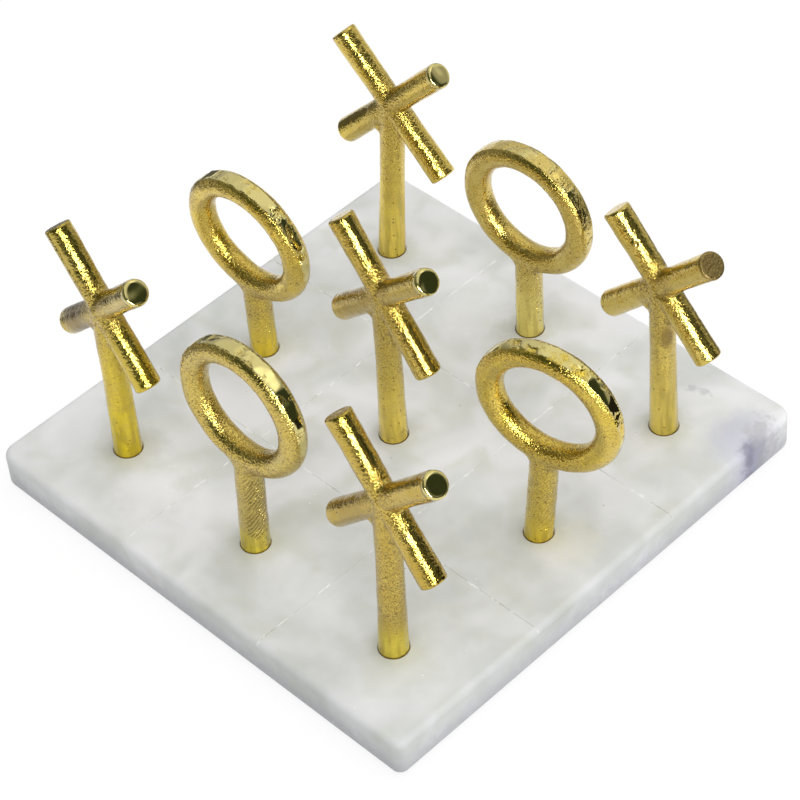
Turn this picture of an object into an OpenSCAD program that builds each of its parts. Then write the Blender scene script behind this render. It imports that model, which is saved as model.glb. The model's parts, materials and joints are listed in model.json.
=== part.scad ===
// Tic-tac-toe board: a marble slab with nine drilled holes, and five X and four O castings
// that stand in them on round stems. Millimetres, +Z up, the front towards -Y.
// The origin is the centre of the board on the surface that its felt pads rest on.

/* [Board] */
// Side of the square board
board_side = 203; // [190:1:260]
// Thickness of the board
board_thick = 14.5; // [12:0.5:24]
// Radius of the front left corner
front_left_r = 6; // [3.5:0.5:10]
// Radius of the front right corner
front_right_r = 3.5; // [3.5:0.5:10]
// Radius of the back left corner
back_left_r = 4; // [3.5:0.5:10]
// Radius of the back right corner
back_right_r = 7; // [3.5:0.5:10]
// Radius of the rolled top edge
top_roll = 2.5; // [0.5:0.25:3]
// Radius of the eased bottom edge
bottom_roll = 1.2; // [0.2:0.1:1.5]
// Distance from one cell's centre to the next, and between the scored lines
cell = 68.5; // [62:0.5:72]
// Width of a scored line at the surface, and twice its depth
score_w = 0.5; // [0.3:0.1:2]

/* [Pads] */
// Diameter of a felt pad
pad_d = 14; // [8:1:24]
// Thickness of a felt pad
pad_t = 1.5; // [1:0.25:3]
// Distance from the board's sides to a pad's centre
pad_inset = 16; // [14:1:30]

/* [Stems and holes] */
// Diameter of a stem's parallel foot
stem_d = 10.4; // [7:0.1:13]
// Depth of a hole, along its own slightly leaning axis
hole_depth = 8.5; // [6:0.5:9]
// Gap all round between a stem and the wall of its hole
hole_gap = 0.2; // [0.15:0.05:0.6]
// Bevel that eases the mouth of a hole
hole_ease = 0.2; // [0.1:0.1:1]
// Gap between the end of a foot and the floor of its hole
seat_gap = 0.3; // [0.1:0.05:0.6]
// Bevel round the end of a foot
foot_bevel = 0.6; // [0.2:0.1:1.5]
// Height above the board at which the parallel foot ends
foot_show = 3; // [1:0.5:8]

/* [X pieces] */
// Height of the crossing above the board, along the stem
x_rise = 71.5; // [62:0.5:90]
// Diameter of the two bars at the crossing
bar_d = 9.2; // [7:0.1:11]
// Diameter of the two bars at their ends
bar_end_d = 9.9; // [7:0.1:12]
// Length of an arm from the crossing to its end
x_arm = 32; // [26:0.5:36]
// Angle between a bar and the stem
x_spread = 43; // [38:0.5:50]
// Bevel round a bar's end
bar_bevel = 0.5; // [0.2:0.1:1]
// Diameter of the rounded boss where the bars cross
boss_d = 10; // [9.5:0.1:14]
// Diameter of the stem at its waist
x_waist_d = 9.3; // [7:0.1:11]
// Height of the waist above the board
x_waist_z = 39; // [20:1:45]
// Diameter of the stem where it meets the crossing
x_neck_d = 9.8; // [7:0.1:12]
// Radius of the fillet in each crotch between two arms
crotch_r = 1.8; // [1:0.2:3]
// Thickness of the metal that a fillet leaves in a crotch
crotch_d = 6.6; // [4:0.2:8]

/* [O pieces] */
// Height of the ring's centre above the board, along the stem
o_rise = 64; // [54:0.5:80]
// Radius of the ring, to the middle of its tube
ring_r = 22.7; // [18:0.1:28]
// Diameter of the ring's tube
tube_d = 9.7; // [7:0.1:12]
// Diameter of the stem just below the ring
o_neck_d = 10.2; // [7:0.1:11]
// Depth to which the top of the rim is ground flat
rim_cut = 0.9; // [0.5:0.1:1.5]
// How far down the ring's sides the ground rim runs, from the top
rim_end = 105; // [70:5:120]
// Flats round a whole ring that the grinding is stepped in
rim_flats = 30; // [16:1:40]
// Radius of the fillet between neck and ring
neck_r = 4.5; // [2:0.5:7]
// Thickness of the metal that the fillet leaves beside the neck
neck_d = 9.2; // [6:0.1:9.4]

/* [Where each hole was drilled] */
// Front left hole, off its cell's centre, to the right and to the back
front_left_at = [1.5, -0.5]; // [-4:0.5:4]
// Front middle hole
front_at = [1, -1.5]; // [-4:0.5:4]
// Front right hole
front_right_at = [1.5, -3]; // [-4:0.5:4]
// Middle left hole
left_at = [1.5, -1]; // [-4:0.5:4]
// Centre hole
centre_at = [0.5, -1]; // [-4:0.5:4]
// Middle right hole
right_at = [3, -1.5]; // [-4:0.5:4]
// Back left hole
back_left_at = [-0.5, 0]; // [-4:0.5:4]
// Back middle hole
back_at = [0.5, 2.5]; // [-4:0.5:4]
// Back right hole
back_right_at = [2, -3]; // [-4:0.5:4]

/* [How each piece stands] */
// Front left: lean of hole and piece to the right and to the back, then the piece's turn
front_left_stance = [1.5, -0.5, -3.5]; // [-7:0.5:15]
// Front middle, in degrees as all are
front_stance = [1.5, 1.5, 2.5]; // [-7:0.5:15]
// Front right
front_right_stance = [0.5, 2, 0.5]; // [-7:0.5:15]
// Middle left
left_stance = [3.5, -3, 3.5]; // [-7:0.5:15]
// Centre
centre_stance = [2.5, -1, -2.5]; // [-7:0.5:15]
// Middle right
right_stance = [6.5, -0.5, 12.5]; // [-7:0.5:15]
// Back left
back_left_stance = [2.5, 3, 5.5]; // [-7:0.5:15]
// Back middle
back_stance = [2, -0.5, 5]; // [-7:0.5:15]
// Back right
back_right_stance = [1, -2, -0.5]; // [-7:0.5:15]

/* [How each X casting came out] */
// Front left: turn of the bar that falls to the right, then of the one that rises to it
front_left_bars = [2.5, 2]; // [-5:0.5:5]
// Front left: what the arms are longer by, first bar's top and foot, then the second's
front_left_arms = [0, 0, 0, 0]; // [-3:0.5:3]
// Front right: turns of its bars, in degrees as all are
front_right_bars = [3.5, 2.5]; // [-5:0.5:5]
// Front right: what its arms are longer by
front_right_arms = [0, 0, 0, 0.5]; // [-3:0.5:3]
// Centre: turns of its bars
centre_bars = [2, 2.5]; // [-5:0.5:5]
// Centre: what its arms are longer by
centre_arms = [-1, 0, 0, 0]; // [-3:0.5:3]
// Back left: turns of its bars
back_left_bars = [-4.5, -1]; // [-5:0.5:5]
// Back left: what its arms are longer by
back_left_arms = [0, 1, 0, 0]; // [-3:0.5:3]
// Back right: turns of its bars
back_right_bars = [0.5, 0.5]; // [-5:0.5:5]
// Back right: what its arms are longer by
back_right_arms = [-1.5, -1, 0, 2.5]; // [-3:0.5:3]

/* [How each O casting came out] */
// Front middle: what its stem is longer by
front_longer = 3; // [-5:0.5:5]
// Middle left: what its stem is longer by
left_longer = -4; // [-5:0.5:5]
// Middle right: what its stem is longer by
right_longer = 4; // [-5:0.5:5]
// Back middle: what its stem is longer by
back_longer = -3; // [-5:0.5:5]

/* [Hidden] */
$fn = 64;

// Margin by which a cutter runs past what it cuts
over = 1;
// Depth to which a fillet is sunk below the surfaces that it joins
sink = 0.1;
marble = [0.87, 0.88, 0.86];
gold = [0.79, 0.63, 0.24];
felt = [0.16, 0.16, 0.17];

board_top = pad_t + board_thick;
board_half = board_side / 2;
// Width of the strips that carry the board's edges, which the corners' radii don't exceed
strip_w = 10;
board_core = board_side - 2 * strip_w;
// The corners' radii in order, each where the strip on the next side starts
CORNERS = [front_right_r, back_right_r, back_left_r, front_left_r];
pad_place = board_half - pad_inset;

hole_d = stem_d + 2 * hole_gap;

// Place of a hole's mouth, from its column and row (-1, 0 or 1) and how far off the drill ran
function mouth(col, row, off) = [col * cell + off[0], row * cell + off[1]];
front_left_hole = mouth(-1, -1, front_left_at);
front_hole = mouth(0, -1, front_at);
front_right_hole = mouth(1, -1, front_right_at);
left_hole = mouth(-1, 0, left_at);
centre_hole = mouth(0, 0, centre_at);
right_hole = mouth(1, 0, right_at);
back_left_hole = mouth(-1, 1, back_left_at);
back_hole = mouth(0, 1, back_at);
back_right_hole = mouth(1, 1, back_right_at);

// Centre of the fillet between an O's neck and its ring: how far it is from the stem's axis, from
// the ring's centre, and below the ring's centre
neck_out = o_neck_d / 2 + neck_r - sink;
neck_reach = ring_r + tube_d / 2 + neck_r - sink;
neck_drop = sqrt(neck_reach * neck_reach - neck_out * neck_out);

// Radius of an X's bar at some distance from the crossing
function bar_radius(along) = (bar_d + (bar_end_d - bar_d) * along / x_arm) / 2;

// What a round of radius r takes off the corner of a square, seen from the round's centre
module corner_waste(r) {
    difference() {
        square(r + over);
        circle(r);
    }
}

// Section through the board's edge: upright face on the right, rolled at the top
module edge_section(width) {
    difference() {
        square([width, board_thick]);
        translate([width - top_roll, board_thick - top_roll]) corner_waste(top_roll);
        translate([width - bottom_roll, bottom_roll]) mirror([0, 1]) corner_waste(bottom_roll);
    }
}

// The board before drilling: a core, four edge strips and four turned corners
module board_blank() {
    translate([-board_core / 2, -board_core / 2, 0]) cube([board_core, board_core, board_thick]);
    for (side = [0:3]) {
        start_r = CORNERS[side];
        end_r = CORNERS[(side + 1) % 4];
        rotate([0, 0, 90 * side]) {
            translate([board_half - strip_w, board_half - end_r, 0])
                rotate([90, 0, 0])
                    linear_extrude(board_side - start_r - end_r) edge_section(strip_w);
            translate([board_half - end_r, board_half - end_r, 0])
                rotate_extrude() edge_section(end_r);
        }
    }
}

// One scored line: a shallow vee right across the board, along Y
module score_line() {
    translate([0, 0, board_top])
        rotate([0, 45, 0])
            cube([score_w / sqrt(2), board_side + 2 * over, score_w / sqrt(2)], center = true);
}

// Places a hole and the piece that stands in it. Both are drawn about the z axis, with the
// board's top face at z = 0 where the axis meets it.
module stand(hole, stance) {
    translate([hole[0], hole[1], board_top])
        rotate([-stance[1], stance[0], 0])
            rotate([0, 0, stance[2]])
                children();
}

// Cutter for one blind hole with an eased mouth
module drilling(hole, stance) {
    stand(hole, stance) translate([0, 0, -hole_depth])
        cylinder(d = hole_d, h = hole_depth + hole_d / 2);
    ease_r = hole_d / 2 + hole_ease;
    translate([hole[0], hole[1], board_top - ease_r])
        cylinder(r1 = 0, r2 = ease_r + over, h = ease_r + over);
}

module slab() {
    color(marble) difference() {
        translate([0, 0, pad_t]) board_blank();
        drilling(front_left_hole, front_left_stance);
        drilling(front_hole, front_stance);
        drilling(front_right_hole, front_right_stance);
        drilling(left_hole, left_stance);
        drilling(centre_hole, centre_stance);
        drilling(right_hole, right_stance);
        drilling(back_left_hole, back_left_stance);
        drilling(back_hole, back_stance);
        drilling(back_right_hole, back_right_stance);
        for (turn = [0, 90]) {
            for (line = [-0.5, 0.5]) {
                rotate([0, 0, turn]) translate([line * cell, 0, 0]) score_line();
            }
        }
    }
}

// One felt pad under the corner that the signs of x and y name
module pad(x, y) {
    color(felt) translate([x * pad_place, y * pad_place, 0]) cylinder(d = pad_d, h = pad_t);
}

module pad_front_left() {
    pad(-1, -1);
}

module pad_front_right() {
    pad(1, -1);
}

module pad_back_left() {
    pad(-1, 1);
}

module pad_back_right() {
    pad(1, 1);
}

// A stem from the end of its foot to its top: parallel to the waist's start, then tapering
module stem(waist_z, waist_d, top_z, top_d) {
    end = seat_gap - hole_depth;
    rotate_extrude() polygon([
        [0, end],
        [stem_d / 2 - foot_bevel, end],
        [stem_d / 2, end + foot_bevel],
        [stem_d / 2, foot_show],
        [waist_d / 2, waist_z],
        [top_d / 2, top_z],
        [0, top_z]
    ]);
}

// A round bar along Z that swells towards its two bevelled ends
module bar(down, up) {
    rotate_extrude() polygon([
        [0, -down],
        [bar_end_d / 2 - bar_bevel, -down],
        [bar_end_d / 2, bar_bevel - down],
        [bar_d / 2, 0],
        [bar_end_d / 2, up - bar_bevel],
        [bar_end_d / 2 - bar_bevel, up],
        [0, up]
    ]);
}

// The fillet in the crotch between two arms at angles a and b from +Z towards +X: part of a
// round tube that bends from the one arm into the other, sunk a little below their surfaces.
module crotch(a, b) {
    half = (b - a) / 2;
    arm_r = bar_radius((bar_d / 2 + crotch_r) / tan(half)) - sink;
    rotate([0, (a + b) / 2, 0])
        translate([0, 0, (arm_r + crotch_r) / sin(half)])
            rotate([90, 0, 0])
                rotate([0, 0, half - 180])
                    rotate_extrude(angle = 180 - 2 * half)
                        translate([crotch_r + crotch_d / 2, 0]) circle(d = crotch_d);
}

// An X casting, from its bars' turns off their places and the arms' extra lengths
module x_casting(turns, longer) {
    fall = turns[0] - x_spread;
    climb = turns[1] + x_spread;
    color(gold) union() {
        stem(x_waist_z, x_waist_d, x_rise, x_neck_d);
        translate([0, 0, x_rise]) {
            sphere(d = boss_d);
            rotate([0, fall, 0]) bar(x_arm + longer[1], x_arm + longer[0]);
            rotate([0, climb, 0]) bar(x_arm + longer[3], x_arm + longer[2]);
            crotch(fall, climb);
            crotch(climb, fall + 180);
            crotch(fall + 180, 180);
            crotch(180, climb + 180);
            crotch(climb + 180, fall + 360);
        }
    }
}

// Outline of the grinding on the rim, as a run of flats centred below the ring's own centre so
// that the cut is deepest at the top and runs out down the sides.
module ground_rim() {
    shift = rim_cut / (1 - cos(rim_end));
    flat_r = ring_r + tube_d / 2 - rim_cut + shift;
    step = 360 / rim_flats;
    translate([0, -shift]) polygon([
        for (n = [0:rim_flats - 1])
            flat_r / cos(step / 2) * [sin((n + 0.5) * step), cos((n + 0.5) * step)]
    ]);
}

// The fillet between the neck and the ring, to the right of the neck
module neck_fillet() {
    tilt = asin(neck_out / neck_reach);
    translate([neck_out, 0, -neck_drop])
        rotate([90, 0, 0])
            rotate([0, 0, 90 + tilt])
                rotate_extrude(angle = 90 - tilt)
                    translate([neck_r + neck_d / 2, 0]) circle(d = neck_d);
}

// An O casting whose stem is longer than the usual by some millimetres
module o_casting(longer) {
    centre = o_rise + longer;
    color(gold) union() {
        stem(centre - neck_drop, o_neck_d, centre - ring_r, tube_d - 2 * sink);
        translate([0, 0, centre]) {
            rotate([90, 0, 0]) intersection() {
                rotate_extrude() translate([ring_r, 0]) circle(d = tube_d);
                linear_extrude(tube_d + 2 * over, center = true) ground_rim();
            }
            neck_fillet();
            rotate([0, 0, 180]) neck_fillet();
        }
    }
}

module x_piece_front_left() {
    stand(front_left_hole, front_left_stance) x_casting(front_left_bars, front_left_arms);
}

module o_piece_front() {
    stand(front_hole, front_stance) o_casting(front_longer);
}

module x_piece_front_right() {
    stand(front_right_hole, front_right_stance) x_casting(front_right_bars, front_right_arms);
}

module o_piece_left() {
    stand(left_hole, left_stance) o_casting(left_longer);
}

module x_piece_centre() {
    stand(centre_hole, centre_stance) x_casting(centre_bars, centre_arms);
}

module o_piece_right() {
    stand(right_hole, right_stance) o_casting(right_longer);
}

module x_piece_back_left() {
    stand(back_left_hole, back_left_stance) x_casting(back_left_bars, back_left_arms);
}

module o_piece_back() {
    stand(back_hole, back_stance) o_casting(back_longer);
}

module x_piece_back_right() {
    stand(back_right_hole, back_right_stance) x_casting(back_right_bars, back_right_arms);
}

slab();
x_piece_front_left();
o_piece_front();
x_piece_front_right();
o_piece_left();
x_piece_centre();
o_piece_right();
x_piece_back_left();
o_piece_back();
x_piece_back_right();
pad_front_left();
pad_front_right();
pad_back_left();
pad_back_right();
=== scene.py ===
"""Tic-tac-toe board: a slab of white marble, nine sand-cast game pieces and four felt pads.

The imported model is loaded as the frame. The slab keeps its node and gets its stone, each casting is
softened and given its cast skin on a copy of its node, and each pad is cut anew from felt.
"""

import json
import logging
import math
from dataclasses import dataclass
from enum import Enum
from functools import partial, reduce

import bpy
import numpy as np
from bpy.types import Material, Node, NodeOutputs, NodeSocket as Socket, NodeTree, Object
from mathutils import Matrix, Vector

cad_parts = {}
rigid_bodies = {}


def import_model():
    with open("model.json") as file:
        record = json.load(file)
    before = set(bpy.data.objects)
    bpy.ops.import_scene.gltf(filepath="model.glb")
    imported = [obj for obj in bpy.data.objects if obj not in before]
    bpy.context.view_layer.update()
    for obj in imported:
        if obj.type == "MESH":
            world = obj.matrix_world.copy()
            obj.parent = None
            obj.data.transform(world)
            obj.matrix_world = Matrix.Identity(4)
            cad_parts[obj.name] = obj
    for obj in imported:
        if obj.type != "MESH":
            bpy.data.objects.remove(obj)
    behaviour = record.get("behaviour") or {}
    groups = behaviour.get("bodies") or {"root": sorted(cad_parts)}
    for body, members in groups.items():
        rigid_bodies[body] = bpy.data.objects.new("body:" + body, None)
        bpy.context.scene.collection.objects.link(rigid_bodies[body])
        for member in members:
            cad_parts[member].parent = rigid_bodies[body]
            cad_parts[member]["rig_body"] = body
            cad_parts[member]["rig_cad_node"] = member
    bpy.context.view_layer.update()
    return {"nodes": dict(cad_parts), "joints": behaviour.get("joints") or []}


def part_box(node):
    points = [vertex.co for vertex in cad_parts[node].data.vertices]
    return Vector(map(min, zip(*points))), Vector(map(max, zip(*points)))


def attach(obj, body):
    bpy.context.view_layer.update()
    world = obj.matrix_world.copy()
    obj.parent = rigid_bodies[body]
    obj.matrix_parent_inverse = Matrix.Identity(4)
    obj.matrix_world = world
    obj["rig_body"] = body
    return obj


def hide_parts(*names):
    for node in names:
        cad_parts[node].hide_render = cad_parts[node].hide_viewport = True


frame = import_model()

MM = 0.001

MARKS = ("ground", "mirror", "dull", "foot", "matt", "worn", "chatter", "grime_and_shade")
WEIGHT_STEPS = 20

log = logging.getLogger("board")


def towards(azimuth: float, elevation: float) -> Vector:
    """Unit vector in degrees round from the front, with the right side at 90, and degrees up."""
    a, e = math.radians(azimuth), math.radians(elevation)
    return Vector((math.sin(a) * math.cos(e), -math.cos(a) * math.cos(e), math.sin(e)))


def points_of(piece: Object) -> np.ndarray:
    """Reads the vertices of a mesh object.

    Args:
        piece: The object.

    Returns:
        One row of x, y and z in metres for each vertex.
    """
    flat = np.empty(len(piece.data.vertices) * 3)
    piece.data.vertices.foreach_get("co", flat)
    return flat.reshape(-1, 3)


def ramp(values: np.ndarray, start: float, end: float) -> np.ndarray:
    """Smooth step of the values, from 0 at the start to 1 at the end, on either side of it."""
    t = np.clip((values - start) / (end - start), 0, 1)
    return t * t * (3 - 2 * t)


def select_only(piece: Object) -> None:
    """Leaves one object selected and active.

    Args:
        piece: The object, which operators then act on.
    """
    bpy.ops.object.select_all(action="DESELECT")
    piece.select_set(True)
    bpy.context.view_layer.objects.active = piece


class Graph:
    """Lays nodes in one tree and joins them. Any input takes a number, a colour or a socket."""

    def __init__(self, tree: NodeTree) -> None:
        """Starts on an emptied tree."""
        self.tree = tree
        self.tree.nodes.clear()

    def node(self, kind: str, inputs: dict | None = None, **settings: object) -> Node:
        """Adds a node.

        Args:
            kind: Type of the node.
            inputs: What feeds each input, by the input's name or number.
            settings: Properties of the node.

        Returns:
            The node.
        """
        made = self.tree.nodes.new(kind)
        for key, value in settings.items():
            setattr(made, key, value)
        for key, value in (inputs or {}).items():
            self.feed(made.inputs[key], value)
        return made

    def feed(self, socket: Socket, value: object) -> None:
        """Links a socket to an input, or sets the input's own value.

        Args:
            socket: The input.
            value: The socket to link, or the value to set.
        """
        if isinstance(value, Socket):
            self.tree.links.new(value, socket)
        else:
            socket.default_value = value

    def use(self, group: str, **inputs: object) -> NodeOutputs:
        """Outputs of the shared node group of that name, fed with the inputs."""
        tree = bpy.data.node_groups[group]
        return self.node("ShaderNodeGroup", inputs, node_tree=tree).outputs

    def math(self, operation: str, *values: object) -> Socket:
        """Result of one Math node on the values."""
        return self.node("ShaderNodeMath", dict(enumerate(values)), operation=operation).outputs[0]

    def times(self, *values: object) -> Socket:
        """Product of the values."""
        return reduce(partial(self.math, "MULTIPLY"), values)

    def most(self, *values: object) -> Socket:
        """Largest of the values."""
        return reduce(partial(self.math, "MAXIMUM"), values)

    def vector(self, operation: str, first: object, second: object) -> NodeOutputs:
        """Outputs of one Vector Math node on two vectors."""
        return self.node("ShaderNodeVectorMath", {0: first, 1: second}, operation=operation).outputs

    def scaled(self, place: object, size: object) -> Socket:
        """Place measured in lengths of the size, which may be a socket."""
        inputs = {0: place, "Scale": self.math("DIVIDE", 1.0, size)}
        return self.node("ShaderNodeVectorMath", inputs, operation="SCALE").outputs[0]

    def bump(self, height: object, depth: float, under: object = None) -> Socket:
        """Normal of a skin as high as the depth where the height is 1, on top of another normal."""
        inputs = {"Height": height, "Distance": depth} | ({"Normal": under} if under else {})
        return self.node("ShaderNodeBump", inputs).outputs[0]

    def remap(
        self, value: object, low: float, high: float, start: object = 0, end: object = 1
    ) -> Socket:
        """Smoothly takes low to start and high to end, and holds still outside them."""
        inputs = {"Value": value, "From Min": low, "From Max": high, "To Min": start, "To Max": end}
        return self.node("ShaderNodeMapRange", inputs, interpolation_type="SMOOTHSTEP").outputs[0]

    def mix(self, factor: object, first: object, second: object) -> Socket:
        """Colour that goes from the first to the second as the factor goes from 0 to 1."""
        inputs = {"Factor": factor, 6: first, 7: second}
        return self.node("ShaderNodeMix", inputs, data_type="RGBA").outputs[2]

    def blend(self, factor: object, first: object, second: object) -> Socket:
        """Number that goes from the first to the second as the factor goes from 0 to 1."""
        inputs = {"Factor": factor, 2: first, 3: second}
        return self.node("ShaderNodeMix", inputs, data_type="FLOAT").outputs[0]

    def noise(self, place: object, size: float, detail: float = 2, warp: float = 0) -> Socket:
        """Noise round one half, in swells of the size, with finer detail on them and a warp."""
        inputs = {"Vector": place, "Scale": 1 / size, "Detail": detail, "Distortion": warp}
        return self.node("ShaderNodeTexNoise", inputs).outputs[0]

    def specks(self, place: object, pitch: float, size: float, share: float) -> Socket:
        """Round specks strewn about at random.

        Args:
            place: Socket that holds the place in metres.
            pitch: Distance between the places where a speck may be, in metres.
            size: Radius of a speck, in metres.
            share: Part of those places that has one.

        Returns:
            The socket that is 1 within a speck and 0 outside.
        """
        inputs = {"Vector": place, "Scale": 1 / pitch}
        cells = self.node("ShaderNodeTexVoronoi", inputs, feature="F1")
        spot = self.remap(cells.outputs["Distance"], size / pitch, size / pitch * 0.4)
        picked = self.node("ShaderNodeSeparateColor", {0: cells.outputs["Color"]})
        return self.times(spot, self.math("LESS_THAN", picked.outputs[0], share))


def new_group(name: str, inputs: dict, outputs: list) -> tuple:
    """Starts a shader node group.

    Args:
        name: Name of the group.
        inputs: Its number inputs with their usual values. A place in metres comes first.
        outputs: Names of its number outputs.

    Returns:
        The graph to lay its nodes in, the node that holds its inputs and the one for its outputs.
    """
    tree = bpy.data.node_groups.new(name, "ShaderNodeTree")
    tree.interface.new_socket("Place", in_out="INPUT", socket_type="NodeSocketVector")
    for key, value in inputs.items():
        made = tree.interface.new_socket(key, in_out="INPUT", socket_type="NodeSocketFloat")
        made.default_value = value
    for key in outputs:
        tree.interface.new_socket(key, in_out="OUTPUT", socket_type="NodeSocketFloat")
    graph = Graph(tree)
    return graph, graph.node("NodeGroupInput"), graph.node("NodeGroupOutput")


def cast_skin_group() -> None:
    """Makes the skin that sand leaves on cast metal: grains on larger lumps, with dark pits."""
    graph, given, result = new_group(
        "cast_skin", {"Grain": 0.6 * MM}, ["Height", "Pits", "Pepper", "Mottle"]
    )
    place = given.outputs["Place"]
    grains = graph.scaled(place, given.outputs["Grain"])
    height = graph.blend(0.35, graph.noise(grains, 1.0, 1.5), graph.noise(grains, 4, 1))
    inputs = {"Vector": grains, "Scale": 0.62, "Smoothness": 0.35}
    domes = graph.node("ShaderNodeTexVoronoi", inputs, feature="SMOOTH_F1").outputs["Distance"]
    pits = graph.specks(place, pitch=1.9 * MM, size=0.5 * MM, share=0.35)
    height = graph.math("SUBTRACT", height, graph.times(domes, 0.35))
    height = graph.math("SUBTRACT", height, graph.times(pits, 0.2))
    pepper = graph.remap(graph.noise(grains, 0.95), 0.57, 0.33)
    mottle = graph.remap(graph.noise(place, 6 * MM, 3), 0.2, 0.8)
    for key, value in (("Height", height), ("Pits", pits), ("Pepper", pepper), ("Mottle", mottle)):
        graph.feed(result.inputs[key], value)


def cloud_group() -> None:
    """Makes soft clouds of two sizes, for stone and for felt."""
    graph, given, result = new_group("cloud", {"Size": 40 * MM}, ["Wide", "Fine"])
    place = graph.scaled(given.outputs["Place"], given.outputs["Size"])
    for key, size, warp in (("Wide", 1.0, 0.6), ("Fine", 0.24, 0.3)):
        graph.feed(result.inputs[key], graph.remap(graph.noise(place, size, 2, warp), 0.3, 0.7))


def blank_material(name: str) -> tuple:
    """Starts a material without nodes.

    Args:
        name: Name of the material.

    Returns:
        The material and its graph.
    """
    material = bpy.data.materials.new(name)
    material.use_nodes = True
    return material, Graph(material.node_tree)


def new_material(name: str) -> tuple:
    """Starts a material with a Principled shader.

    Args:
        name: Name of the material.

    Returns:
        The material, its graph, its shader and the socket with the place in metres.
    """
    material, graph = blank_material(name)
    shader = graph.node("ShaderNodeBsdfPrincipled")
    graph.node("ShaderNodeOutputMaterial", {"Surface": shader.outputs[0]})
    place = graph.node("ShaderNodeTexCoord").outputs["Object"]
    return material, graph, shader, place


@dataclass(frozen=True)
class Worked:
    """A casting's graph, and sockets in it that say what the skin is like at each place."""

    graph: Graph
    place: object
    mark: dict
    skin: object
    cut: object
    matt: object
    rough: object
    ripples: object
    drawn: object


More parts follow.
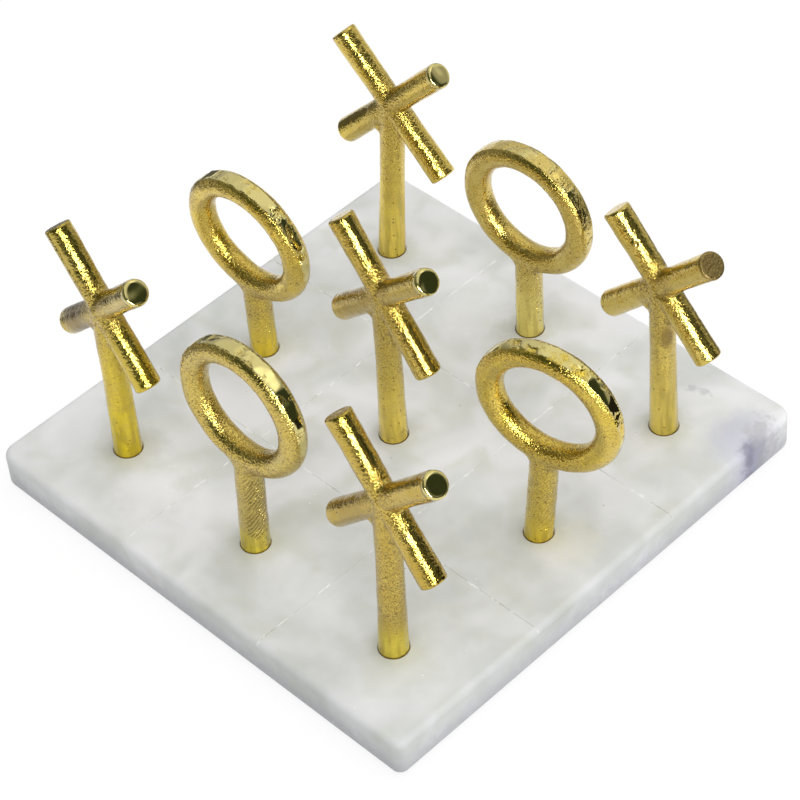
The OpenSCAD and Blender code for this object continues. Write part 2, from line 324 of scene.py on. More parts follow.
@dataclass(frozen=True)
class GoldFinish:
    """Gold-toned plating on a sand-cast piece. Colours are linear, and sizes are in metres."""

    name: str
    body: tuple
    foot: tuple
    pale: tuple = (0.78, 0.63, 0.24, 1)
    polished: tuple = (0.72, 0.62, 0.24, 1)
    matt: tuple = (0.68, 0.50, 0.10, 1)
    dull_end: tuple = (0.36, 0.26, 0.09, 1)
    grime_and_shade: tuple = (0.16, 0.09, 0.02, 1)
    grain: float = 0.6 * MM
    relief: float = 0.27 * MM
    matt_relief: float = 1.9
    chatter: float = 0.22 * MM
    ripple: float = 1.3 * MM
    ripple_wander: float = 9
    slant: tuple = (-0.5, -0.56, 0.66)
    draw: tuple = (1, 1, 0.12)
    filing: float = 1.2 * MM
    filing_size: float = 3.4 * MM
    streak_size: float = 1.8 * MM
    streak_share: float = 0.34
    pale_share: float = 0.3
    matt_share: float = 0.7
    pepper_share: float = 0.5
    matt_pepper_share: float = 0.75
    foot_pepper: float = 0.35
    pit_share: float = 0.85
    stain_and_shade_share: float = 0.8
    dent: float = 1.1 * MM
    dent_size: float = 8 * MM
    foot_wear: float = 0.35
    worn_wear: float = 0.36
    cast_roughness: float = 0.12
    matt_roughness: float = 0.22
    dull_roughness: float = 0.45
    dirt_roughness: float = 0.4
    polished_roughness: float = 0.08
    band_skin: float = 0
    lacquer: float = 0.22

    def build(self) -> Material:
        """Builds the material.

        Returns:
            The material. It reads the marks that a casting carries.
        """
        material, graph, shader, place = new_material(self.name)
        worked = self.work(graph, place)
        dirt_and_shade = self.dirt_and_shade(worked)
        graph.feed(shader.inputs["Base Color"], graph.mix(dirt_and_shade, self.tone(worked), self.grime_and_shade))
        shader.inputs["Metallic"].default_value = 1
        roughness = graph.blend(worked.matt, self.cast_roughness, self.matt_roughness)
        roughness = graph.blend(worked.mark["dull"], roughness, self.dull_roughness)
        roughness = graph.blend(worked.cut, roughness, self.polished_roughness)
        roughness = graph.most(roughness, graph.times(dirt_and_shade, self.dirt_roughness))
        graph.feed(shader.inputs["Roughness"], roughness)
        normal = self.normal(worked)
        graph.feed(shader.inputs["Normal"], normal)
        graph.feed(shader.inputs["Coat Normal"], normal)
        shader.inputs["Coat Weight"].default_value = self.lacquer
        shader.inputs["Coat Roughness"].default_value = self.polished_roughness
        return material

    def work(self, graph: Graph, place: object) -> Worked:
        """Puts the marks of a casting together with its cast skin.

        Args:
            graph: The material's graph.
            place: Socket that holds the place in metres.

        Returns:
            The sockets that the rest of the finish reads.
        """
        mark = {
            key: graph.node("ShaderNodeAttribute", attribute_name=key).outputs["Fac"]
            for key in MARKS
        }
        skin = graph.use("cast_skin", Place=place, Grain=self.grain)
        kept = graph.remap(skin["Mottle"], self.band_skin - 0.3, self.band_skin + 0.2)
        cut = graph.most(graph.times(mark["ground"], kept), mark["mirror"])
        rubbed = graph.times(mark["worn"], self.worn_wear)
        smooth = graph.most(cut, graph.times(mark["foot"], self.foot_wear), rubbed)
        matt = graph.times(
            graph.remap(graph.math("ADD", mark["matt"], skin["Mottle"]), 0.4, 1.5),
            graph.remap(mark["matt"], 0, 0.3),
            graph.remap(mark["chatter"], 0, 1, 1, 0.25),
        )
        rough = graph.math("SUBTRACT", 1.0, smooth)
        ripples = graph.times(self.ripples(graph, place), mark["chatter"])
        drawn = graph.vector("MULTIPLY", place, self.draw)[0]
        return Worked(graph, place, mark, skin, cut, matt, rough, ripples, drawn)

    def tone(self, worked: Worked) -> Socket:
        """Colours the plating where it is clean.

        Args:
            worked: The casting's sockets.

        Returns:
            The socket that holds the colour.
        """
        graph, mark, mottle = worked.graph, worked.mark, worked.skin["Mottle"]
        colour = graph.mix(graph.times(mottle, self.pale_share), (*self.body, 1), self.pale)
        colour = graph.mix(graph.times(worked.matt, self.matt_share), colour, self.matt)
        patchy = graph.times(mark["foot"], graph.remap(mottle, 0.2, 0.9, 1, 0.6))
        colour = graph.mix(patchy, colour, (*self.foot, 1))
        colour = graph.mix(worked.cut, colour, self.polished)
        return graph.mix(mark["dull"], colour, self.dull_end)

    def dirt_and_shade(self, worked: Worked) -> Socket:
        """Lays dirt in grains, pits, streaks, stains and ripples, and painted shade where a flaw
        browns an arm.

        Args:
            worked: The casting's sockets.

        Returns:
            The socket that holds how dark it is, from 0 to 1.
        """
        graph, mark, skin = worked.graph, worked.mark, worked.skin
        darker = graph.blend(worked.matt, self.pepper_share, self.matt_pepper_share)
        thinned = graph.remap(mark["foot"], 0, 1, 1, self.foot_pepper)
        pepper = graph.times(skin["Pepper"], darker, thinned, worked.rough)
        pits = graph.times(skin["Pits"], graph.remap(worked.cut, 0, 1, self.pit_share, 0))
        streaks = graph.noise(worked.drawn, self.streak_size, 3)
        streaks = graph.times(graph.remap(streaks, 0.6, 0.36, 0, self.streak_share), mark["foot"])
        # The stains take real dirt and the painted shade browning the X arms.
        stains = graph.times(mark["grime_and_shade"], self.stain_and_shade_share)
        return graph.most(pepper, pits, streaks, stains, graph.times(worked.ripples, 0.7))

    def normal(self, worked: Worked) -> Socket:
        """Lays the bumps of grain, ripples, filing and dents one on the other.

        Args:
            worked: The casting's sockets.

        Returns:
            The socket that holds the normal.
        """
        graph, cast = worked.graph, worked.skin["Height"]
        cast = graph.times(cast, graph.blend(worked.matt, 1.0, self.matt_relief), worked.rough)
        filed = graph.times(graph.noise(worked.drawn, self.filing_size, 1), worked.mark["foot"])
        dents = graph.times(graph.noise(worked.place, self.dent_size, 0), worked.cut)
        normal = graph.bump(cast, self.relief)
        normal = graph.bump(worked.ripples, -self.chatter, normal)
        normal = graph.bump(filed, self.filing, normal)
        return graph.bump(dents, self.dent, normal)

    def ripples(self, graph: Graph, place: object) -> Socket:
        """Cuts grooves that slant round the stem, broken off here and there.

        Args:
            graph: The material's graph.
            place: Socket that holds the place in metres.

        Returns:
            The socket that is 1 in the grooves' depth.
        """
        turn = tuple(math.tau / self.ripple * share for share in self.slant)
        wander = graph.times(graph.noise(place, 4 * MM), self.ripple_wander)
        phase = graph.math("ADD", graph.vector("DOT_PRODUCT", place, turn)["Value"], wander)
        groove = graph.remap(graph.math("SINE", phase), 0.1, 0.9)
        return graph.times(groove, graph.remap(graph.noise(place, 2.5 * MM, 1), 0.38, 0.52))


@dataclass(frozen=True)
class Stain:
    """A mark in the stone: place on the board and radius in millimetres, colour and strength."""

    place: tuple
    radius: float
    colour: tuple
    strength: float
    ragged: float = 1


@dataclass(frozen=True)
class Stone:
    """The stone's graph, with the place, the place without its height, x y z, and soft noise."""

    graph: Graph
    place: object
    flat: object
    axes: object
    mottle: object


@dataclass(frozen=True)
class MarbleFinish:
    """White marble with soft clouds, worn lines with a painted highlight, painted shade low on the
    sides and round the stems, and a few mineral stains. Colours are linear.
    """

    name: str = "honed_marble"
    white: tuple = (0.86, 0.865, 0.88, 1)
    grey: tuple = (0.64, 0.66, 0.645, 1)
    moss: tuple = (0.56, 0.58, 0.48, 1)
    # colour of the painted shade low on the slab's sides
    low: tuple = (0.54, 0.54, 0.58, 1)
    pit: tuple = (0.10, 0.10, 0.09, 1)
    glint: tuple = (0.95, 0.96, 0.96, 1)
    lichen: tuple = (0.42, 0.44, 0.35, 1)
    rust: tuple = (0.30, 0.20, 0.09, 1)
    cloud_size: float = 42 * MM
    moss_size: float = 17 * MM
    moss_share: float = 0.38
    mottle_size: float = 3.5 * MM
    bottom_shade_share: float = 0.85
    wave_size: float = 9 * MM
    wave_depth: float = 0.2 * MM
    roughness: float = 0.5
    shine: float = 0.12
    line_at: float = 34.25 * MM
    line_width: float = 0.5 * MM
    line_floor: float = 14.5 * MM
    hole_r: float = 5.4 * MM
    stem_shade_share: float = 0.28
    rust_share: float = 0.45
    holes: tuple = ()
    stains: tuple = (
        Stain((97, 79), 15, (0.58, 0.58, 0.72), 0.6, 0.6),
        Stain((104, 79), 8, (0.30, 0.30, 0.42), 0.7, 0.8),
        Stain((100, 76), 3, (0.20, 0.20, 0.27), 0.5, 2.2),
        Stain((99, 86), 7, (0.46, 0.45, 0.42), 0.4, 2.8),
        Stain((66, 86), 2, (0.28, 0.29, 0.33), 0.3, 3),
        Stain((71, 88), 2.4, (0.28, 0.29, 0.33), 0.3, 3),
        Stain((-23, 63), 17, (0.85, 0.86, 0.85), 0.6),
        Stain((-42, -81), 15, (0.88, 0.88, 0.90), 0.6),
        Stain((-38, -66), 6, (0.46, 0.50, 0.38), 0.2, 1.6),
        Stain((-63, -63), 9, (0.47, 0.46, 0.43), 0.25, 1.6),
        Stain((84, 1), 12, (0.74, 0.72, 0.60), 0.4),
    )

    def build(self) -> Material:
        """Builds the material.

        Returns:
            The material.
        """
        material, graph, shader, place = new_material(self.name)
        axes = graph.node("ShaderNodeSeparateXYZ", {0: place}).outputs
        flat = graph.vector("MULTIPLY", place, (1, 1, 0))[0]
        mottle = graph.noise(place, self.mottle_size, 4, 0.5)
        stone = Stone(graph, place, flat, axes, mottle)
        cloud = graph.use("cloud", Place=place, Size=self.cloud_size)
        colour = graph.mix(cloud["Wide"], self.white, self.grey)
        colour = graph.mix(graph.times(cloud["Fine"], 0.3), colour, self.white)
        moss = graph.noise(place, self.moss_size, 1.5, 0.6)
        colour = graph.mix(graph.remap(moss, 0.42, 0.75, 0, self.moss_share), colour, self.moss)
        # Painted shade: the sides grow darker and a little lavender towards the bottom, with a ragged
        # edge.
        shade_height = graph.math("ADD", axes["Z"], graph.times(mottle, 8 * MM))
        low = graph.times(graph.remap(shade_height, 17 * MM, 5 * MM), self.bottom_shade_share)
        colour = graph.mix(low, colour, self.low)
        for stain in self.stains:
            colour = graph.mix(self.blot(stone, stain), colour, (*stain.colour, 1))
        colour = self.weather_and_light_lines(stone, colour)
        colour = self.stain_and_shade_holes(stone, colour)
        pits = graph.times(graph.specks(place, pitch=8 * MM, size=0.4 * MM, share=0.3), 0.6)
        colour = graph.mix(pits, colour, self.pit)
        glints = graph.times(graph.specks(place, pitch=7 * MM, size=0.45 * MM, share=0.3), 0.7)
        graph.feed(shader.inputs["Base Color"], graph.mix(glints, colour, self.glint))
        shader.inputs["Roughness"].default_value = self.roughness
        shader.inputs["Specular IOR Level"].default_value = self.shine
        waves = graph.bump(graph.noise(place, self.wave_size, 4), self.wave_depth)
        graph.feed(shader.inputs["Normal"], waves)
        return material

    def blot(self, stone: Stone, stain: Stain) -> Socket:
        """Grades the stone by how strongly one stain shows.

        Args:
            stone: The stone's graph and sockets.
            stain: The stain.

        Returns:
            The socket that holds the strength.
        """
        graph = stone.graph
        centre = (stain.place[0] * MM, stain.place[1] * MM, 0)
        off = graph.vector("DISTANCE", stone.flat, centre)["Value"]
        wander = graph.times(graph.math("SUBTRACT", stone.mottle, 0.5), stain.ragged)
        away = graph.math("ADD", graph.math("DIVIDE", off, stain.radius * MM), wander)
        return graph.times(graph.remap(away, 1.25, 0.35), stain.strength)

    def weather_and_light_lines(self, stone: Stone, colour: object) -> Socket:
        """Colours the scored lines, which are chipped pale with a painted highlight in most places
        and stained in some.

        Args:
            stone: The stone's graph and sockets.
            colour: Socket with the stone's colour.

        Returns:
            The socket that holds the new colour.
        """
        graph, place = stone.graph, stone.place
        offs = [graph.math("ABSOLUTE", stone.axes[key]) for key in ("X", "Y")]
        offs = [graph.math("ABSOLUTE", graph.math("SUBTRACT", off, self.line_at)) for off in offs]
        off = graph.math("MINIMUM", *offs)
        on_top = graph.math("GREATER_THAN", stone.axes["Z"], self.line_floor)
        wide = graph.times(graph.noise(place, 2.2 * MM, 3), self.line_width)
        line = graph.remap(graph.math("SUBTRACT", off, wide), 0.05 * MM, -0.15 * MM)
        line = graph.times(line, on_top)
        colour = graph.mix(graph.times(line, 0.08), colour, self.lichen)
        # Painted highlight that lightens the grooves' shade, with pale chips at their edges, in
        # broken patches.
        worn = graph.remap(graph.noise(place, 7 * MM, 4), 0.46, 0.6, 0, 0.9)
        chipped = graph.times(graph.noise(place, 2 * MM), 4.2 * self.line_width)
        chips_and_highlight = graph.remap(graph.math("SUBTRACT", off, chipped), -0.75 * MM, -1.05 * MM)
        chips_and_highlight = graph.most(graph.times(chips_and_highlight, on_top), line)
        colour = graph.mix(graph.times(chips_and_highlight, worn), colour, self.glint)
        stained = graph.remap(graph.noise(place, 14 * MM), 0.5, 0.6)
        broken = graph.remap(graph.noise(place, 1.6 * MM), 0.45, 0.58)
        return graph.mix(graph.times(line, stained, broken, 0.6), colour, self.lichen)

    def stain_and_shade_holes(self, stone: Stone, colour: object) -> Socket:
        """Colours the stone round the holes: painted shade round each stem, and rust from the metal
        crept in at the rims.

        Args:
            stone: The stone's graph and sockets.
            colour: Socket with the stone's colour.

        Returns:
            The socket that holds the new colour.
        """
        graph = stone.graph
        away = 1.0  # farther than any place on the board
        for x, y in self.holes:
            off = graph.vector("DISTANCE", stone.flat, (x, y, 0))["Value"]
            away = graph.math("MINIMUM", off, away)
        # Painted shade: a ragged greenish darkening round each stem.
        shade_reach = graph.math("SUBTRACT", away, graph.times(stone.mottle, 9 * MM))
        stem_shade = graph.remap(shade_reach, self.hole_r + 2 * MM, self.hole_r - 3 * MM, 0, self.stem_shade_share)
        colour = graph.mix(stem_shade, colour, self.moss)
        ragged = graph.math("SUBTRACT", away, graph.times(stone.mottle, 0.8 * MM))
        near, far = self.hole_r - 0.5 * MM, self.hole_r + 0.1 * MM
        rust = graph.remap(ragged, far, near, 0, self.rust_share)
        shallow = graph.remap(stone.axes["Z"], 13.5 * MM, 15.5 * MM)
        return graph.mix(graph.times(rust, shallow), colour, self.rust)


@dataclass(frozen=True)
class FeltFinish:
    """Dark pressed felt. Colours are linear."""

    name: str = "pressed_felt"
    dark: tuple = (0.016, 0.016, 0.018, 1)
    light: tuple = (0.035, 0.035, 0.038, 1)
    fibre: float = 0.25 * MM
    cloud_size: float = 2 * MM
    nap: float = 0.15 * MM

    def build(self) -> Material:
        """Builds the material.

        Returns:
            The material.
        """
        material, graph, shader, place = new_material(self.name)
        cloud = graph.use("cloud", Place=place, Size=self.cloud_size)
        fibres = graph.noise(place, self.fibre, 3, 1.5)
        graph.feed(shader.inputs["Base Color"], graph.mix(fibres, self.dark, self.light))
        graph.feed(shader.inputs["Roughness"], graph.remap(cloud["Fine"], 0, 1, 0.85, 1))
        graph.feed(shader.inputs["Normal"], graph.bump(fibres, self.nap))
        return material


def finish_with(piece: Object, material: Material) -> None:
    """Puts one material in every slot of a piece.

    Args:
        piece: The piece.
        material: The material.
    """
    if not piece.material_slots:
        piece.data.materials.append(material)
    for slot in piece.material_slots:
        slot.material = material


@dataclass(frozen=True)
class Flaw:
    """A nodule, notch, stain or patch of painted shade on a casting, in millimetres along the
    casting's own axes.
    """

    place: tuple
    size: tuple
    height: float = 0
    grime_and_shade: float = 0

    def reach(self, local: np.ndarray) -> np.ndarray:
        """Grades the points of a casting from 0 outside the flaw to 1 at its heart."""
        off = (local / MM - np.array(self.place)) / np.array(self.size)
        return ramp(np.linalg.norm(off, axis=1), 1, 0.35)


@dataclass
class Casting:
    """A game piece: what its maker did to it after the mould, on a copy of its node.

    It turns so many degrees about its stem, and is filed bright up to so many millimetres above the
    board. The other sizes are in metres.
    """

    name: str
    turn: float
    finish: GoldFinish
    flaws: tuple = ()
    bright: float = 14
    bright_fade: float = 3 * MM
    voxel: float = 0.42 * MM
    crease: float = 40
    rubs: int = 0
    skin_rubs: int = 6
    swell: float = 0.28 * MM
    swell_size: float = 6 * MM
    dimple: float = 0.10 * MM
    dimple_size: float = 1.6 * MM
    seat_swell: float = 0.12 * MM
    seat_grime: float = 0.6

    def __post_init__(self) -> None:
        """Finds the stem's axis and the mouth of its hole from the frame."""
        joint = next(j for j in frame["joints"] if j["child"] == self.name)
        self.axis = Vector(joint["axis"]).normalized()
        points = points_of(frame["nodes"][self.name])
        along = points @ np.array(self.axis)
        foot = Vector(points[along < along.min() + 0.05 * MM].mean(0))
        board_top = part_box("slab")[1].z
        self.mouth = foot + self.axis * ((board_top - foot.z) / self.axis.z)

    def local(self, points: np.ndarray) -> np.ndarray:
        """Turns places into the casting's own axes.

        Args:
            points: Places in the model, one in each row.

        Returns:
            The same with z up the stem from the board and y square to the casting's plane.
        """
        across = Vector((self.axis.z, 0, -self.axis.x)).normalized()
        across = Matrix.Rotation(math.radians(self.turn), 3, self.axis) @ across
        axes = np.array([across, self.axis.cross(across), self.axis])
        return (points - np.array(self.mouth)) @ axes.T

    def marks(self, local: np.ndarray) -> dict:
        """Grades the points of the casting.

        Args:
            local: Places in the casting's own axes.

        Returns:
            For each mark that the finish reads, how far each point has it, from 0 to 1.
        """
        height = local[:, 2]
        marks = {key: np.zeros(len(local)) for key in MARKS}
        marks["foot"] = ramp(height, self.bright * MM, self.bright_fade)
        marks["grime_and_shade"] = self.seat_grime * ramp(np.abs(height), 0.8 * MM, 0.3 * MM)
        for flaw in self.flaws:
            marks["grime_and_shade"] = np.maximum(marks["grime_and_shade"], flaw.reach(local) * flaw.grime_and_shade)
        return marks

    def build(self) -> Object:
        """Makes the casting's finished mesh and dresses it.

        Returns:
            The finished piece, which stands for the node of its name.
        """
        piece = self.copy_node()
        self.apply(piece, "REMESH", mode="VOXEL", voxel_size=self.voxel, use_smooth_shade=True)
        local = self.local(points_of(piece))
        marks = self.marks(local)
        for key, values in marks.items():
            piece.data.attributes.new(key, "FLOAT", "POINT").data.foreach_set("value", values)
        cut = np.maximum(np.maximum(marks["ground"], marks["mirror"]), marks["dull"])
        rough = (1 - cut) * (1 - 0.5 * marks["foot"])
        seat = ramp(local[:, 2], 2.4 * MM, 0.4 * MM)
        self.weigh(piece, "skin", rough)
        self.weigh(piece, "lumps", rough * (1 - seat))
        self.weigh(piece, "flats", marks["ground"])
        self.weigh(piece, "seat", seat)
        self.apply(piece, "SMOOTH", factor=0.5, iterations=self.skin_rubs, vertex_group="skin")
        self.apply(piece, "SMOOTH", factor=0.5, iterations=self.rubs, vertex_group="flats")
        self.roughen(piece, "swell", self.swell_size, self.swell)
        self.roughen(piece, "dimple", self.dimple_size, self.dimple)
        self.raise_by(piece, "seat", self.seat_swell)
        for number, flaw in enumerate(flaw for flaw in self.flaws if flaw.height):
            self.weigh(piece, "flaw_%d" % number, flaw.reach(local))
            self.raise_by(piece, "flaw_%d" % number, flaw.height * MM)
        finish_with(piece, self.finish.build())
        select_only(piece)
        bpy.ops.object.shade_smooth_by_angle(angle=math.radians(self.crease))
        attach(piece, self.name)
        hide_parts(self.name)
        return piece

    def copy_node(self) -> Object:
        """Copies the casting's node and merges the copy's loose triangles.

        Returns:
            The copy, on no body yet.
        """
        select_only(frame["nodes"][self.name])
        bpy.ops.object.duplicate()
        piece = bpy.context.object
        piece.parent = None
        piece.name = self.name + "_cast"
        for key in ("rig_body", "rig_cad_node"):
            del piece[key]
        bpy.ops.object.mode_set(mode="EDIT")
        bpy.ops.mesh.select_all(action="SELECT")
        bpy.ops.mesh.remove_doubles(threshold=0.001 * MM)
        bpy.ops.object.mode_set(mode="OBJECT")
        return piece

    def apply(self, piece: Object, kind: str, **settings: object) -> None:
        """Adds one modifier and applies it.

        Args:
            piece: The casting.
            kind: Type of the modifier.
            settings: Its properties.
        """
        made = piece.modifiers.new(kind.lower(), kind)
        for key, value in settings.items():
            setattr(made, key, value)
        select_only(piece)
        bpy.ops.object.modifier_apply(modifier=made.name)

    def weigh(self, piece: Object, name: str, weights: np.ndarray) -> None:
        """Makes a vertex group, its weights rounded to steps.

        Args:
            piece: The casting.
            name: Name of the group.
            weights: Weight of each vertex, from 0 to 1.
        """
        group = piece.vertex_groups.new(name=name)
        steps = np.round(weights * WEIGHT_STEPS).astype(int)
        for step in range(1, WEIGHT_STEPS + 1):
            group.add(np.flatnonzero(steps == step).tolist(), step / WEIGHT_STEPS, "REPLACE")

    def raise_by(self, piece: Object, group: str, height: float) -> None:
        """Moves a vertex group out along its normals."""
        self.apply(piece, "DISPLACE", strength=height, mid_level=0, vertex_group=group)

    def roughen(self, piece: Object, name: str, size: float, depth: float) -> None:
        """Raises and sinks the skin in soft lumps.

        Args:
            piece: The casting.
            name: Name of the texture that says where.
            size: Length of one lump, in metres.
            depth: Height from the lowest to the highest, in metres.
        """
        cloud = bpy.data.textures.get(name) or bpy.data.textures.new(name, "CLOUDS")
        cloud.noise_scale = size
        cloud.noise_depth = 1
        where = {"texture": cloud, "texture_coords": "LOCAL", "vertex_group": "lumps"}
        self.apply(piece, "DISPLACE", strength=depth, mid_level=0.5, **where)


class End(Enum):
    """How the upper end that faces the camera is dressed: the mark that it gets."""

    MIRROR = "mirror"
    DULL = "dull"


@dataclass
class Cross(Casting):
    """An X: two round bars that cross on top of a stem, with cut and dressed ends."""

    tilt: float = 0
    end: End = End.MIRROR
    rubs: int = 28
    end_r: float = 4.95 * MM
    bar_reach: float = 8 * MM
    stem_reach: float = 6 * MM
    rise: float = 71.5 * MM
    arm: float = 32 * MM
    spread: float = 43

    def marks(self, local: np.ndarray) -> dict:
        """Adds the dressed end of one arm, and the matt skin round the crossing.

        Args:
            local: Places in the casting's own axes.

        Returns:
            The marks.
        """
        marks = super().marks(local)
        centre = local - np.array([0, 0, self.rise])
        angle = math.radians(self.tilt + self.spread)
        way = np.array([math.sin(angle), 0, math.cos(angle)])
        along = centre @ way
        beside = np.linalg.norm(centre - along[:, None] * way, axis=1)
        on_bar = beside < self.bar_reach
        past = along - self.arm
        marks[self.end.value] += ramp(past, -0.75 * MM, -0.4 * MM) * on_bar
        if self.end is End.MIRROR:
            corner = ramp(beside, self.end_r - 2.3 * MM, self.end_r)
            marks["ground"] += ramp(past, -2.2 * MM, -1.2 * MM) * corner * on_bar
        else:
            edge = ramp(past, -1.5 * MM, -1.1 * MM) * ramp(past, -0.4 * MM, -0.8 * MM)
            marks["grime_and_shade"] = np.maximum(marks["grime_and_shade"], 0.7 * edge * on_bar)
        from_middle = np.linalg.norm(centre, axis=1)
        on_stem = (np.abs(local[:, 0]) < self.stem_reach) & (centre[:, 2] < 0)
        stem = ramp(centre[:, 2], -56 * MM, -40 * MM) * on_stem
        matt = np.maximum(ramp(from_middle, 15 * MM, 5 * MM), 0.75 * stem)
        marks["matt"] = np.maximum(matt, 0.8 * marks["dull"])
        marks["worn"] = ramp(from_middle, 9 * MM, 18 * MM) * ~on_stem
        return marks


@dataclass
class Ring(Casting):
    """An O: a ring on a stem, with its rim ground in short flats over the top."""

    longer: float = 0
    rubbed: float = 1
    ripple: float = 0.35
    rubs: int = 90
    rise: float = 64 * MM
    ring_r: float = 22.7 * MM
    tube_r: float = 4.85 * MM
    rim_cut: float = 0.9 * MM
    rim_end: float = 105
    rim_fade: float = 8
    rim_flats: int = 30

    def marks(self, local: np.ndarray) -> dict:
        """Adds the ground rim, and the ripples and the matt skin of stem and neck.

        Args:
            local: Places in the casting's own axes.

        Returns:
            The marks.
        """
        marks = super().marks(local)
        shift = self.rim_cut / (1 - math.cos(math.radians(self.rim_end)))
        flat_r = self.ring_r + self.tube_r - self.rim_cut + shift
        out = local - np.array([0, 0, self.rise + self.longer * MM - shift])
        step = math.tau / self.rim_flats
        angle = np.arctan2(out[:, 0], out[:, 2])
        off_middle = angle - np.round(angle / step) * step
        reach = np.hypot(out[:, 0], out[:, 2]) * np.cos(off_middle)
        down = np.abs(np.arctan2(out[:, 0], out[:, 2] - shift))
        band = ramp(reach - flat_r, -0.22 * MM, -0.08 * MM)
        last = math.radians(self.rim_end)
        marks["ground"] = band * ramp(down, last, math.radians(self.rim_end - self.rim_fade))
        height = local[:, 2]
        neck = self.rise + self.longer * MM - self.ring_r
        stem = ramp(height, 4 * MM, 9 * MM) * ramp(height, neck - 4 * MM, neck - 9 * MM)
        right = 0.67 * local[:, 0] + 0.74 * local[:, 1]  # the ripples are on the right side
        marks["chatter"] = stem * self.ripple * ramp(right, -4 * MM, -1 * MM)
        marks["worn"] = self.rubbed * ramp(height, neck, neck + 6 * MM)
        marks["matt"] = np.maximum(
            ramp(np.abs(height - neck), 14 * MM, 4 * MM), 0.6 * ramp(height, 14 * MM, 26 * MM)
        ) * (1 - marks["ground"])
        return marks


@dataclass
class Pad:
    """One felt pad: a die-cut disc with a softened rim."""

    name: str
    rim: float = 0.35 * MM
    ring: float = 1.6 * MM
    rings: int = 3
    sides: int = 72

    def build(self, felt: Material) -> Object:
        """Makes the pad in the place of its node.

        Args:
            felt: Its material.

        Returns:
            The finished pad.
        """
        low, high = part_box(self.name)
        middle = (low + high) / 2
        bpy.ops.object.select_all(action="DESELECT")
        bpy.ops.mesh.primitive_cylinder_add(
            vertices=self.sides, radius=(high.x - low.x) / 2, depth=high.z - low.z, location=middle
        )
        piece = bpy.context.object
        piece.name = self.name + "_felt"
        bpy.ops.object.transform_apply(location=True, rotation=False, scale=False)
        bpy.ops.object.mode_set(mode="EDIT")
        bpy.ops.mesh.select_mode(type="EDGE")
        bpy.ops.mesh.select_all(action="DESELECT")
        bpy.ops.mesh.edges_select_sharp(sharpness=math.radians(60))
        bpy.ops.mesh.bevel(offset=self.rim, segments=3)
        bpy.ops.mesh.select_mode(type="FACE")
        bpy.ops.mesh.select_all(action="DESELECT")
        bpy.ops.object.mode_set(mode="OBJECT")
        for face in piece.data.polygons:
            face.select = abs(face.normal.z) > 0.99
        bpy.ops.object.mode_set(mode="EDIT")
        for _ in range(self.rings):
            bpy.ops.mesh.inset(thickness=self.ring, use_individual=False)
        bpy.ops.object.mode_set(mode="OBJECT")
        finish_with(piece, felt)
        bpy.ops.object.shade_smooth_by_angle(angle=math.radians(50))
        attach(piece, "board")
        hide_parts(self.name)
        return piece


@dataclass
class Board:
    """The slab and the pads under its corners."""

    corners: tuple = ("front_left", "front_right", "back_left", "back_right")

    def build(self, mouths: list) -> list:
        """Dresses the slab's node and makes the pads.

        Args:
            mouths: Where the castings go into the board's top.

        Returns:
            The slab and the four pads.
        """
        slab = frame["nodes"]["slab"]
        holes = tuple((mouth.x, mouth.y) for mouth in mouths)
        finish_with(slab, MarbleFinish(holes=holes).build())
        felt = FeltFinish().build()
        return [slab] + [Pad("pad_" + corner).build(felt) for corner in self.corners]


class Use(Enum):
    """What a card in the studio is for: lights seen in metal, light on the rest, or shade."""

    LAMP = "lamp"
    FILL = "fill"
    FLAG = "flag"


@dataclass(frozen=True)
class Card:
    """A lamp, a fill that metal doesn't show, or a dark flag. In metres and degrees."""

    name: str
    use: Use
    azimuth: float
    elevation: float
    reach: float
    width: float
    height: float
    glow: float = 0

    def build(self, aim: Vector) -> Object:
        """Hangs the card.

        Args:
            aim: Point that it faces.

        Returns:
            The lamp or the flag.
        """
        away = towards(self.azimuth, self.elevation)
        turn = away.to_track_quat("Z", "Y").to_euler()
        place = aim + away * self.reach
        bpy.ops.object.select_all(action="DESELECT")
        if self.use is not Use.FLAG:
            bpy.ops.object.light_add(type="AREA", location=place, rotation=turn)
            made = bpy.context.object
            made.visible_glossy = self.use is Use.LAMP
            made.visible_diffuse = self.use is Use.FILL
            made.data.shape = "RECTANGLE"
            made.data.size = self.width
            made.data.size_y = self.height
            made.data.energy = self.glow * math.pi * self.width * self.height
        else:
            bpy.ops.mesh.primitive_plane_add(size=1, location=place, rotation=turn)
            made = bpy.context.object
            made.scale = (self.width, self.height, 1)
            bpy.ops.object.transform_apply(location=False, rotation=False, scale=True)
            made.visible_camera = made.visible_diffuse = made.visible_shadow = False
            finish_with(made, self.flag_cloth())
        made.name = self.name
        return made

    def flag_cloth(self) -> Material:
        """Makes dark cloth that gives back a little light.

        Returns:
            The cloth, as bright as the card's glow.
        """
        material, graph = blank_material(self.name + "_cloth")
        colour = (self.glow, self.glow, self.glow * 0.9, 1)
        cloth = graph.node("ShaderNodeEmission", {"Color": colour})
        graph.node("ShaderNodeOutputMaterial", {"Surface": cloth.outputs[0]})
        return material


@dataclass(frozen=True)
class Glow:
    """A soft patch of the room's dome that is brighter or darker than the rest. In degrees."""

    azimuth: float
    elevation: float
    spread: float
    edge: float
    level: float


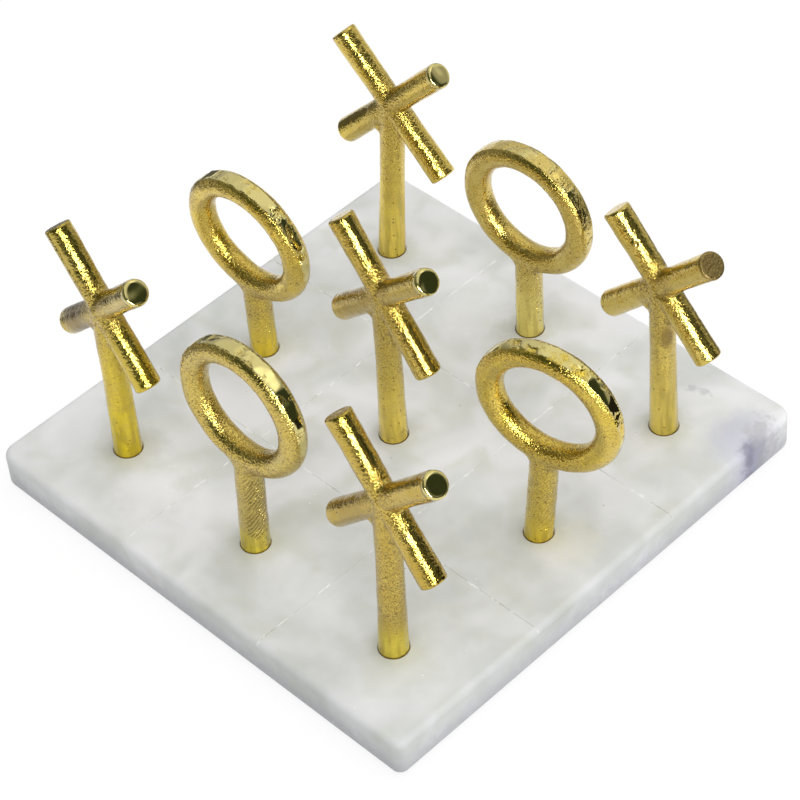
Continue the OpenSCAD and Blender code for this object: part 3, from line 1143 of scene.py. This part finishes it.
@dataclass
class Studio:
    """Pale floor, soft light and the camera."""

    floor_side: float = 6
    floor_white: float = 0.84
    shadow_share: float = 0.14
    aim: tuple = (0, 0, 0.06)
    camera_place: tuple = (0.5298, -0.4712, 0.7471)
    camera_azimuth: float = 48.12
    camera_elevation: float = 45.26
    camera_roll: float = -5.09
    camera_lens: float = 127.62
    sky: float = 0.51
    sky_lean: float = 0.6
    sky_azimuth: float = 135
    dome: float = 0.42
    shade_tint: tuple = (0.8, 1, 0.62, 1)
    glows: tuple = (
        Glow(0, 90, 42, 22, 0.82),
        Glow(-125, 40, 30, 18, 0.75),
        Glow(-172, 54, 26, 14, 0.95),
        Glow(168, 22, 16, 8, 0.8),
        Glow(-5, 33, 36, 14, 0.10),
        Glow(-68, 12, 34, 16, 0.24),
        Glow(112, 19, 25, 9, 0.05),
        Glow(140, 50, 9, 8, 1.6),
        Glow(64, 24, 28, 10, 0.14),
        Glow(110, 24, 5, 10, 0.28),
    )
    cards: tuple = (
        Card("window_near", Use.LAMP, 50, 28, 1.4, 0.13, 0.62, 24),
        Card("window_far", Use.LAMP, 70, 20, 1.4, 0.20, 0.62, 20),
        Card("key", Use.FILL, 80, 78, 1.6, 2.0, 2.0, 1.62),
        Card("side", Use.FILL, 92, 5, 1.5, 1.6, 1.2, 0.15),
        Card("flag_right", Use.FLAG, 120, -3, 0.24, 0.16, 0.10, 0.02),
        Card("flag_back", Use.FLAG, 160, -5, 0.24, 0.14, 0.08, 0.15),
        Card("flag_left", Use.FLAG, -55, -5, 0.24, 0.12, 0.08, 0.08),
        Card("flag_far_left", Use.FLAG, -95, -5, 0.24, 0.18, 0.08, 0.12),
    )

    def build(self) -> None:
        """Builds the floor, the world, the cards and the camera."""
        self.floor()
        self.world()
        for card in self.cards:
            card.build(Vector(self.aim))
        self.camera()
        bpy.context.scene.view_settings.view_transform = "Standard"

    def floor(self) -> None:
        """Lays the floor: white to the camera, with a light shadow round the board."""
        bpy.ops.object.select_all(action="DESELECT")
        bpy.ops.mesh.primitive_plane_add(size=self.floor_side)
        floor = bpy.context.object
        floor.name = "floor"
        material, graph = blank_material("pale_floor")
        white, faint = ((*[level] * 3, 1) for level in (self.floor_white, self.shadow_share))
        paper = graph.node("ShaderNodeBsdfDiffuse", {"Color": white})
        shaded = graph.node("ShaderNodeBsdfDiffuse", {"Color": faint})
        glow = graph.node("ShaderNodeEmission", {"Strength": 1 - self.shadow_share * 0.9})
        both = graph.node("ShaderNodeAddShader", {0: shaded.outputs[0], 1: glow.outputs[0]})
        path = graph.node("ShaderNodeLightPath").outputs
        seen = graph.most(path["Is Glossy Ray"], path["Is Transmission Ray"], path["Is Camera Ray"])
        inputs = {0: seen, 1: paper.outputs[0], 2: both.outputs[0]}
        pick = graph.node("ShaderNodeMixShader", inputs)
        graph.node("ShaderNodeOutputMaterial", {"Surface": pick.outputs[0]})
        finish_with(floor, material)

    def world(self) -> None:
        """Lights the room: white to the camera, patches of light and shade to metal."""
        world = bpy.data.worlds.new("room")
        world.use_nodes = True
        bpy.context.scene.world = world
        graph = Graph(world.node_tree)
        way = graph.node("ShaderNodeTexCoord").outputs["Generated"]
        level = self.dome
        for glow in self.glows:
            heart = tuple(towards(glow.azimuth, glow.elevation))
            near = graph.vector("DOT_PRODUCT", way, heart)["Value"]
            rim = math.cos(math.radians(glow.spread + glow.edge / 2))
            core = math.cos(math.radians(max(glow.spread - glow.edge / 2, 0)))
            level = graph.blend(graph.remap(near, rim, core), level, glow.level)
        path = graph.node("ShaderNodeLightPath").outputs
        lean = graph.vector("DOT_PRODUCT", way, tuple(towards(self.sky_azimuth, 0)))["Value"]
        sky = graph.math("MULTIPLY_ADD", lean, self.sky * self.sky_lean, self.sky)
        level = graph.blend(path["Is Diffuse Ray"], level, sky)
        level = graph.blend(path["Is Camera Ray"], level, 1)
        tint = graph.mix(graph.remap(level, 0.3, 0.06), (1, 1, 1, 1), self.shade_tint)
        light = graph.node("ShaderNodeBackground", {"Color": tint, "Strength": level})
        graph.node("ShaderNodeOutputWorld", {"Surface": light.outputs[0]})

    def camera(self) -> None:
        """Stands the camera at the photograph's viewing angle."""
        turn = (
            Matrix.Rotation(math.radians(self.camera_azimuth), 4, "Z")
            @ Matrix.Rotation(math.radians(90 - self.camera_elevation), 4, "X")
            @ Matrix.Rotation(math.radians(self.camera_roll), 4, "Z")
        )
        bpy.ops.object.camera_add()
        camera = bpy.context.object
        camera.matrix_world = Matrix.Translation(self.camera_place) @ turn
        camera.data.lens = self.camera_lens
        bpy.context.scene.camera = camera


def painted_arm_shade(grime_and_shade: float) -> Flaw:
    """Painted shade that browns the left arm of an X, as strong as the share given."""
    return Flaw((-13, 0, 58.5), (19, 12, 19), grime_and_shade=grime_and_shade)


PIECES = (
    Cross(
        "x_piece_front_left", -3.5,
        GoldFinish("gold_front_left", (0.50, 0.375, 0.06), (0.97, 0.751, 0.04)),
        flaws=(painted_arm_shade(1.0),), bright=78, tilt=2,
    ),
    Ring(
        "o_piece_front", 2.5,
        GoldFinish("gold_front", (0.62, 0.485, 0.125), (0.97, 0.791, 0.091), band_skin=0.2),
        longer=3, ripple=1, rubbed=0.6,
    ),
    Cross(
        "x_piece_front_right", 0.5,
        GoldFinish("gold_front_right", (0.53, 0.375, 0.055), (0.919, 0.739, 0.105)),
        flaws=(painted_arm_shade(0.5),), bright=20, tilt=2.5,
    ),
    Ring(
        "o_piece_left", 3.5,
        GoldFinish("gold_left", (0.78, 0.58, 0.085), (0.889, 0.67, 0.046), band_skin=0.3),
        bright=22, longer=-4,
    ),
    Cross(
        "x_piece_centre", -2.5,
        GoldFinish("gold_centre", (0.58, 0.425, 0.075), (0.94, 0.727, 0.129)),
        flaws=(painted_arm_shade(0.5),), bright=55, tilt=2.5,
    ),
    Ring(
        "o_piece_right", 12.5,
        GoldFinish("gold_right", (0.78, 0.575, 0.068), (0.889, 0.67, 0.058), band_skin=0.4),
        longer=4, ripple=0.5,
    ),
    Cross(
        "x_piece_back_left", 5.5,
        GoldFinish("gold_back_left", (0.712, 0.525, 0.098), (0.898, 0.689, 0.11)),
        flaws=(painted_arm_shade(0.4),), bright=78, tilt=-1,
    ),
    Ring(
        "o_piece_back", 5,
        GoldFinish("gold_back", (0.75, 0.58, 0.16), (0.97, 0.815, 0.223), band_skin=0.75),
        bright=40, longer=-3,
    ),
    Cross(
        "x_piece_back_right", -0.5,
        GoldFinish("gold_back_right", (0.712, 0.535, 0.112), (0.869, 0.679, 0.14)),
        flaws=(
            Flaw((-9.3, -3.6, 86.5), (1.7, 1.7, 1.7), height=0.6),
            Flaw((3, -4.6, 70.2), (3.5, 2.5, 1.3), height=-0.7, grime_and_shade=0.6),
            Flaw((4.2, -2.6, 50), (3.4, 4, 8.5), grime_and_shade=0.9),
        ),
        bright=65, tilt=0.5, end=End.DULL,
    ),
)


def main() -> None:
    """Builds everything in order and reports each piece."""
    logging.basicConfig(level=logging.INFO, format="%(name)s: %(message)s")
    cast_skin_group()
    cloud_group()
    for piece in Board().build([casting.mouth for casting in PIECES]):
        log.info("%s: %d faces", piece.name, len(piece.data.polygons))
    for casting in PIECES:
        piece = casting.build()
        log.info("%s: %d faces", piece.name, len(piece.data.polygons))
    Studio().build()


if __name__ == "__main__":
    main()
